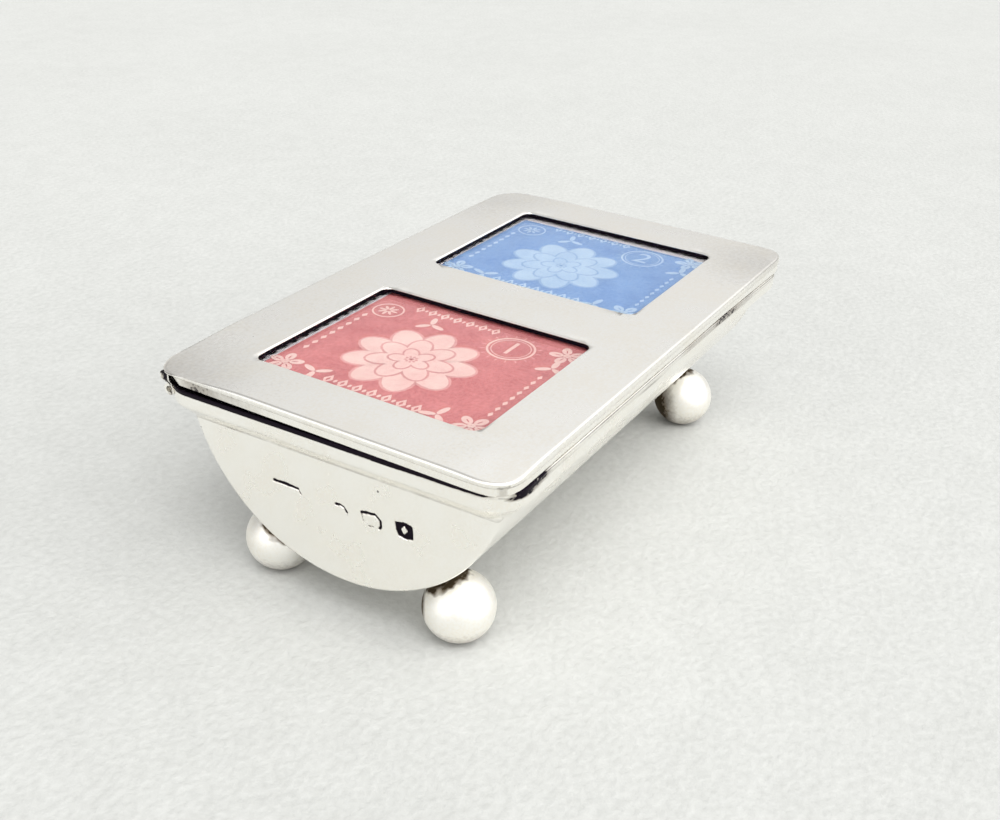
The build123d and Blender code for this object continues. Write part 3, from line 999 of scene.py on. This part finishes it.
# %% Stamp materials
def ink(name, colour, deep_colour, mottle):
    """Printed paper: one ink that lies unevenly on the fibres."""
    material, tree, shader, place = new_material(name)
    fibres = noise(tree, place, 0.3, 6)
    patches = noise(tree, place, 2.5, 3)
    share = math_step(tree, "ADD", math_step(tree, "MULTIPLY", fibres, mottle), patches)
    spread = ranged(tree, share, 0.35 + mottle * 0.4, 0.65 + mottle * 0.6)
    tree.links.new(mixed(tree, spread, colour, deep_colour), shader.inputs["Base Color"])
    bumped(tree, shader, fibres, 0.01, 0.4)
    shader.inputs["Roughness"].default_value = 0.8
    shader.inputs["Specular IOR Level"].default_value = 0.25
    return material


stamp_paper = ink("stamp_paper", (0.774, 0.735, 0.755, 1), (0.678, 0.619, 0.657, 1), 0.5)
red_inks = [
    stamp_paper,
    ink("red_ground", (0.735, 0.227, 0.227, 1), (0.581, 0.136, 0.145, 1), 1.0),
    ink("red_tint", (0.852, 0.407, 0.387, 1), (0.755, 0.319, 0.31, 1), 0.8),
    ink("red_pale", (0.93, 0.657, 0.601, 1), (0.891, 0.542, 0.504, 1), 0.6),
]
blue_inks = [
    stamp_paper,
    ink("blue_ground", (0.199, 0.377, 0.707, 1), (0.121, 0.276, 0.619, 1), 1.0),
    ink("blue_tint", (0.329, 0.504, 0.774, 1), (0.252, 0.426, 0.726, 1), 0.8),
    ink("blue_pale", (0.504, 0.667, 0.871, 1), (0.387, 0.565, 0.812, 1), 0.6),
]
print("inks:", len(red_inks) + len(blue_inks) - 1)

# %% Petal ring and row trees
def flat_shape(tree, given, long, wide):
    """A flat petal, lozenge or dot: a disc of few corners, stretched."""
    disc = node(tree, "GeometryNodeMeshCircle", {
        "Vertices": given["Corners"], "Radius": 0.5,
    }, fill_type="NGON")
    scale = node(tree, "ShaderNodeCombineXYZ", {"X": given[long], "Y": given[wide], "Z": 1.0})
    return node(tree, "GeometryNodeTransform", {
        "Geometry": disc.outputs["Mesh"], "Scale": scale.outputs[0],
    }).outputs[0]


petal_tree, given, result = growth_tree("petal_ring", {
    "Count": "Int", "Ring Radius": "Float", "Petal Length": "Float", "Petal Width": "Float",
    "Corners": "Int", "Turn": "Float",
})
seats = node(petal_tree, "GeometryNodeMeshCircle", {
    "Vertices": given["Count"], "Radius": given["Ring Radius"],
})
outward = node(petal_tree, "FunctionNodeAlignRotationToVector", {
    "Vector": node(petal_tree, "GeometryNodeInputPosition").outputs[0],
}, axis="X")
petals = node(petal_tree, "GeometryNodeInstanceOnPoints", {
    "Points": seats.outputs["Mesh"], "Rotation": outward.outputs[0],
    "Instance": flat_shape(petal_tree, given, "Petal Length", "Petal Width"),
})
whole_turn = node(petal_tree, "ShaderNodeCombineXYZ", {"Z": given["Turn"]})
turned_ring = node(petal_tree, "GeometryNodeTransform", {
    "Geometry": petals.outputs[0], "Rotation": whole_turn.outputs[0],
})
close_tree(petal_tree, turned_ring.outputs[0], stamp_paper, result)

row_tree, given, result = growth_tree("lozenge_row", {
    "Count": "Int", "Spacing": "Float", "Long": "Float", "Wide": "Float", "Corners": "Int",
})
pitch = node(row_tree, "ShaderNodeCombineXYZ", {"X": given["Spacing"]})
line = node(row_tree, "GeometryNodeMeshLine", {
    "Count": given["Count"], "Offset": pitch.outputs[0],
})
lozenges = node(row_tree, "GeometryNodeInstanceOnPoints", {
    "Points": line.outputs[0], "Instance": flat_shape(row_tree, given, "Long", "Wide"),
})
close_tree(row_tree, lozenges.outputs[0], stamp_paper, result)
print("petal ring:", len(petal_tree.nodes), "nodes, row:", len(row_tree.nodes))

# %% Perforation tree
sheet_tree, given, result = growth_tree("perforated_sheet", {
    "Width": "Float", "Height": "Float", "Thickness": "Float", "Hole Radius": "Float",
    "Pitch": "Float",
})
sheet_size = node(sheet_tree, "ShaderNodeCombineXYZ", {
    "X": given["Width"], "Y": given["Height"], "Z": given["Thickness"],
})
sheet = node(sheet_tree, "GeometryNodeMeshCube", {"Size": sheet_size.outputs[0]})
edge_line = node(sheet_tree, "GeometryNodeCurvePrimitiveQuadrilateral", {
    "Width": given["Width"], "Height": given["Height"],
})
holes_along = node(sheet_tree, "GeometryNodeResampleCurve", {
    "Curve": edge_line.outputs[0], "Length": given["Pitch"],
}, mode="LENGTH")
punch = node(sheet_tree, "GeometryNodeMeshCylinder", {
    "Vertices": 14, "Radius": given["Hole Radius"], "Depth": 1 * MM,
})
punches = node(sheet_tree, "GeometryNodeInstanceOnPoints", {
    "Points": holes_along.outputs[0], "Instance": punch.outputs["Mesh"],
})
real_punches = node(sheet_tree, "GeometryNodeRealizeInstances", {0: punches.outputs[0]})
punched = node(sheet_tree, "GeometryNodeMeshBoolean", {
    0: sheet.outputs["Mesh"], 1: real_punches.outputs[0],
}, operation="DIFFERENCE")
close_tree(sheet_tree, punched.outputs[0], stamp_paper, result)
print("perforated sheet:", len(sheet_tree.nodes), "nodes")

# %% [markdown]
# The number is the one thing that isn't a pattern. It is a text curve in Blender's own plain
# lettering, made a mesh before it takes its place. The thin frames are drawn as flat rings.


# %% Print helpers
LAYER = 0.012
SIZE_FOR_HEIGHT = 1.45
RING_CORNERS = 48


def number_mesh(digit, height):
    """A plain number as a flat mesh, its middle at the origin."""
    words = bpy.data.curves.new("number", "FONT")
    words.body = digit
    words.size = height * SIZE_FOR_HEIGHT * MM
    words.align_x = "CENTER"
    words.align_y = "CENTER"
    holder = bpy.data.objects.new("number", words)
    scene.collection.objects.link(holder)
    mesh = plain_mesh(holder)
    bpy.data.objects.remove(holder)
    return mesh


def flat_mesh(name, points, faces):
    """A flat mesh from points in millimetres."""
    mesh = bpy.data.meshes.new(name)
    mesh.from_pydata([(x * MM, y * MM, 0) for x, y in points], [], faces)
    return mesh


def ring_mesh(radius, width):
    """A flat round frame."""
    angles = [2 * math.pi * step / RING_CORNERS for step in range(RING_CORNERS)]
    points = [(r * math.cos(a), r * math.sin(a)) for r in (radius, radius - width) for a in angles]
    after = [(i, (i + 1) % RING_CORNERS) for i in range(RING_CORNERS)]
    faces = [(i, j, RING_CORNERS + j, RING_CORNERS + i) for i, j in after]
    return flat_mesh("band", points, faces)


def place_at(x, y, z, turn):
    """A place in millimetres, with a turn about the upright."""
    return Matrix.Translation(Vector((x, y, z)) * MM) @ Matrix.Rotation(turn, 4, "Z")


def add_layer(form, mesh, ink_index, height, centre=(0, 0), turn=0.0):
    """Lay one flat part of the print on the stamp, in millimetres from the stamp's middle."""
    mesh.transform(place_at(*centre, height, turn))
    first = len(form.faces)
    form.from_mesh(mesh)
    form.faces.ensure_lookup_table()
    for face in form.faces[first:]:
        face.material_index = ink_index
    bpy.data.meshes.remove(mesh)


def petal_layer(
    form, ink_index, layer, centre, count, ring, length, width, turn=0.0, corners=18,
):
    """One ring of petals."""
    values = {
        "Count": count, "Ring Radius": ring * MM, "Petal Length": length * MM,
        "Petal Width": width * MM, "Corners": corners, "Turn": turn,
    }
    add_layer(form, grown(petal_tree, values), ink_index, layer * LAYER, centre)


def row_layer(form, ink_index, layer, start, count, spacing, long, wide, turn=0.0, corners=4):
    """One row of lozenges or dots."""
    values = {
        "Count": count, "Spacing": spacing * MM, "Long": long * MM, "Wide": wide * MM,
        "Corners": corners,
    }
    add_layer(form, grown(row_tree, values), ink_index, layer * LAYER, start, turn)


print("a layer of print is", LAYER, "mm thick")

# %% Pattern of the print
GROUND, TINT, PALE = 1, 2, 3
UPRIGHT = math.pi / 2
BLOOM = (
    (TINT, -4, 9, 3.55, 4.5, 3.1, 0.0),
    (PALE, -3, 9, 3.5, 4.2, 2.6, 0.0),
    (TINT, -2, 7, 2.25, 3.3, 2.3, 0.3),
    (PALE, -1, 7, 2.2, 3.0, 1.9, 0.3),
    (TINT, -0.6, 5, 1.1, 2.0, 1.5, 0.6),
    (PALE, -0.3, 5, 1.05, 1.7, 1.15, 0.6),
    (TINT, 0, 9, 0.45, 0.3, 0.22, 0.0),
)
CORNER_BLOOMS = (((-7.0, 8.9), 0.2), ((7.1, -9.1), 0.5), ((-7.2, -9.0), 0.9))
SPRIGS = (((-7.0, 5.9), 1.2), ((-7.2, -5.9), 1.9), ((4.4, -9.2), 0.1), ((5.6, 3.4), 2.4))
ROWS = (
    (PALE, -3, (-3.9, 9.3), 8, 1.12, 0.86, 0.5),
    (PALE, -3, (-4.9, -9.2), 8, 1.05, 0.8, 0.42),
    (PALE, -3, (-7.4, -4.2), 7, 1.4, 0.85, 1.5, UPRIGHT),
    (GROUND, -2, (-7.4, -4.2), 7, 1.4, 0.3, 0.7, UPRIGHT),
    (PALE, -3, (-7.4, -3.5), 6, 1.4, 0.3, 0.5, UPRIGHT, 10),
    (PALE, -3, (7.7, -1.8), 7, 1.3, 0.8, 1.35, UPRIGHT),
    (GROUND, -2, (7.7, -1.8), 7, 1.3, 0.28, 0.6, UPRIGHT),
    (PALE, -3, (7.7, -1.15), 6, 1.3, 0.26, 0.45, UPRIGHT, 10),
)
BLOOM_CENTRE, TABLET, ROUNDEL = (-0.9, 0.9), (5.6, -4.6), (5.9, 8.2)
NUMBER_HEIGHT = 2.3


def print_pattern(form, digit):
    """Lay the whole pattern and the number on a stamp's ground."""
    for ink_index, layer, *petals in BLOOM:
        petal_layer(form, ink_index, layer, BLOOM_CENTRE, *petals)
    for centre, turn in CORNER_BLOOMS:
        petal_layer(form, PALE, -3, centre, 5, 0.95, 1.25, 0.85, turn)
        petal_layer(form, GROUND, -2, centre, 5, 0.8, 0.6, 0.12, turn, 8)
        petal_layer(form, PALE, -1, centre, 6, 0.2, 0.35, 0.3, turn, 10)
    for centre, turn in SPRIGS:
        petal_layer(form, PALE, -3, centre, 3, 0.75, 1.4, 0.55, turn, 14)
    for row in ROWS:
        row_layer(form, *row)
    for mesh, centre, turn in (
        (ring_mesh(2.1, 0.2), TABLET, 0.0),
        (ring_mesh(1.72, 0.08), TABLET, 0.0),
        (number_mesh(digit, NUMBER_HEIGHT), TABLET, -UPRIGHT),
        (ring_mesh(1.45, 0.16), ROUNDEL, 0.0),
    ):
        add_layer(form, mesh, PALE, -3 * LAYER, centre, turn)
    petal_layer(form, PALE, -3, ROUNDEL, 8, 0.55, 0.8, 0.28, 0.0, 10)
    petal_layer(form, TINT, -4, TABLET, 18, 2.4, 0.5, 0.14, 0.0, 8)


print("petal rings in the bloom:", len(BLOOM), "rows:", len(ROWS))

# %% Stamps
STAMP_TOP = -0.905
PAPER_HEIGHT = -6 * LAYER - 0.04
PERFORATION = {"Thickness": 0.08 * MM, "Hole Radius": 0.42 * MM, "Pitch": 1.36 * MM}


def make_stamp(name, node_name, inks, digit, middle_x, paper_box, print_box, slip):
    """One stamp: perforated paper, a printed ground, and the pattern on it."""
    left, bottom, right_edge, top = paper_box
    form = bmesh.new()
    size = {"Width": (right_edge - left) * MM, "Height": (top - bottom) * MM}
    middle = ((left + right_edge) / 2, (bottom + top) / 2)
    add_layer(form, grown(sheet_tree, size | PERFORATION), 0, PAPER_HEIGHT, middle)
    left, bottom, right_edge, top = print_box
    corners = [(left, bottom), (right_edge, bottom), (right_edge, top), (left, top)]
    add_layer(form, flat_mesh("ground", corners, [(0, 1, 2, 3)]), GROUND, -5 * LAYER)
    print_pattern(form, digit)

    place = LID_TURN @ place_at(middle_x, 0, STAMP_TOP, slip)
    bmesh.ops.transform(form, matrix=place, verts=form.verts)
    mesh = mesh_from(form, name)
    for one_ink in inks:
        mesh.materials.append(one_ink)
    piece = bpy.data.objects.new(name, mesh)
    scene.collection.objects.link(piece)
    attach(piece, "lid")
    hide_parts(node_name)
    print(name, "has", len(mesh.polygons), "faces")


make_stamp(
    "red_stamp", "stamp_left", red_inks, "1", -WINDOW_X,
    (-9.9, -11.9, 9.9, 10.95), (-9.2, -11.2, 9.6, 10.27), math.radians(-0.4),
)
make_stamp(
    "blue_stamp", "stamp_right", blue_inks, "2", WINDOW_X,
    (-9.9, -11.9, 9.4, 11.0), (-9.2, -11.2, 8.2, 10.36), math.radians(-0.5),
)

# %% [markdown]
# ## Glass and what holds it
#
# A plain pane covers each stamp, a thin plate backs it, and four bent tabs hold the stack. These
# are simple flat things, so the model's own panes stay as they are and only get their glass. The
# plates and tabs are the model's too, with a small bevel on their edges that catches the light.

# %% Glass, backing plates and tabs
pane_glass, tree, shader, place = new_material("pane_glass")
shader.inputs["Transmission Weight"].default_value = 1.0
shader.inputs["IOR"].default_value = 1.3
shader.inputs["Base Color"].default_value = (0.985, 0.99, 0.985, 1)
smears = ranged(tree, noise(tree, place, 3, 5, (1, 0.4, 1)), 0.45, 0.75, 0.0, 0.05)
tree.links.new(smears, shader.inputs["Roughness"])
for side in SIDES:
    pane = nodes[f"glass_{side}"]
    pane.data.materials.clear()
    pane.data.materials.append(pane_glass)
    for holder_name in (f"backing_plate_{side}", f"retaining_tabs_{side}"):
        form = sliced(holder_name, (0, 0, 0))
        bmesh.ops.bevel(
            form, geom=form.edges[:], offset=0.04 * MM, segments=2, affect="EDGES",
            clamp_overlap=True,
        )
        finish_piece(
            holder_name + "_worn", form, "lid", plain_silver, [holder_name],
            grime_and_shade=lambda points: 0.16 + 0.1 * ripple(points, 4, 61), sharp=50,
        )
print("panes:", [nodes[f"glass_{side}"].name for side in SIDES])

# %% [markdown]
# ## Floor and light
#
# The box stands on pale paper with a faint tooth. It is lit as small silver is for a catalogue, by
# a white tent all round. Silver shows little but what it mirrors, so the tent isn't even: it grows
# brighter from the table up, is dimmer right overhead, and has a softbox, windows and white screens
# as soft glows, and two dark patches. Lamps could do this, but their hard edges would show in the
# silver. The floor is coloured as the paper is and keeps the box's shadow. Where silver mirrors it,
# it is more even and painted a little brighter, which brightens the silver's reflections.

# %% Floor
FLOOR_HALF = 2.0
DARK_PAPER = (0.465, 0.47, 0.451, 1)
LIGHT_PAPER = (0.562, 0.567, 0.547, 1)
# The paper as silver mirrors it: even, and brighter than its middle tone, a painted brightening of
# reflections.
PAPER_BRIGHTENED_IN_SILVER = (0.543, 0.548, 0.529, 1)
floor_mesh = bpy.data.meshes.new("paper_floor")
corners = ((-1, -1), (1, -1), (1, 1), (-1, 1))
floor_corners = [(x * FLOOR_HALF, y * FLOOR_HALF, 0) for x, y in corners]
floor_mesh.from_pydata(floor_corners, [], [(0, 1, 2, 3)])
floor = bpy.data.objects.new("paper_floor", floor_mesh)
scene.collection.objects.link(floor)
floor_finish, tree, shader, place = new_material("floor_paper")
tooth = noise(tree, place, 0.7, 6)
tone = ranged(tree, tooth, 0.3, 0.7, 0, 0.6)
for size, detail, share in ((4, 3, 0.25), (30, 2, 0.15)):
    patches = ranged(tree, noise(tree, place, size, detail), 0.3, 0.7, 0, share)
    tone = math_step(tree, "ADD", tone, patches)
# Silver mirrors the paper painted brighter and even.
seen_in_silver = node(tree, "ShaderNodeLightPath").outputs["Is Glossy Ray"]
paper = mixed(tree, tone, DARK_PAPER, LIGHT_PAPER)
tree.links.new(mixed(tree, seen_in_silver, paper, PAPER_BRIGHTENED_IN_SILVER), shader.inputs["Base Color"])
bumped(tree, shader, tooth, 0.1)
shader.inputs["Roughness"].default_value = 0.95
shader.inputs["Specular IOR Level"].default_value = 0.1
floor_mesh.materials.append(floor_finish)
print("floor:", FLOOR_HALF * 2, "m wide")

# %% Light
DOME = ((0.0, 0.3), (0.25, 0.67), (0.36, 0.785), (0.5, 0.9), (0.68, 1.06), (1.0, 0.55))
GLOWS = {
    "softbox over the camera": (222, 60, 18, 6.5),
    "window on the left": (160, 10, 25, 1.5),
    "window on the right": (283, 8, 18, 1.9),
    "white screen in front": (268, 30, 30, 2.2),
    "white wall on the right": (-28, 36, 20, 0.45),
    "dark side of the room": (62, 24, 16, -0.2),
    "dark curtain behind the hinge": (108, 42, 32, -0.6),
}
world = bpy.data.worlds.new("light_tent")
scene.world = world
world.use_nodes = True
tree = world.node_tree
ray = node(tree, "ShaderNodeTexCoord").outputs["Generated"]
height = node(tree, "ShaderNodeSeparateXYZ", {0: ray}).outputs["Z"]
level = 0.0
for (low_height, low_level), (high_height, high_level) in zip(DOME, DOME[1:]):
    rise = ranged(tree, height, low_height, high_height, 0, high_level - low_level)
    level = math_step(tree, "ADD", rise, level)
level = math_step(tree, "ADD", level, DOME[0][1])
for azimuth, elevation, width, strength in GLOWS.values():
    azimuth, elevation, width = (math.radians(angle) for angle in (azimuth, elevation, width))
    flat = math.cos(elevation)
    towards = (math.cos(azimuth) * flat, math.sin(azimuth) * flat, math.sin(elevation))
    facing = node(tree, "ShaderNodeVectorMath", {0: ray, 1: towards}, operation="DOT_PRODUCT")
    short_of = math_step(tree, "SUBTRACT", facing.outputs["Value"], 1.0)
    power = math_step(tree, "DIVIDE", short_of, 1 - math.cos(width))
    glow = math_step(tree, "MULTIPLY", math_step(tree, "EXPONENT", power), strength)
    level = math_step(tree, "ADD", level, glow)
level = math_step(tree, "MAXIMUM", level, 0.0)
tree.links.new(level, tree.nodes["Background"].inputs["Strength"])
tree.nodes["Background"].inputs["Color"].default_value = (1, 1, 1, 1)
scene.view_settings.view_transform = "Standard"
print("light from", DOME[0][1], "to", DOME[-1][1], "and", len(GLOWS), "glows")
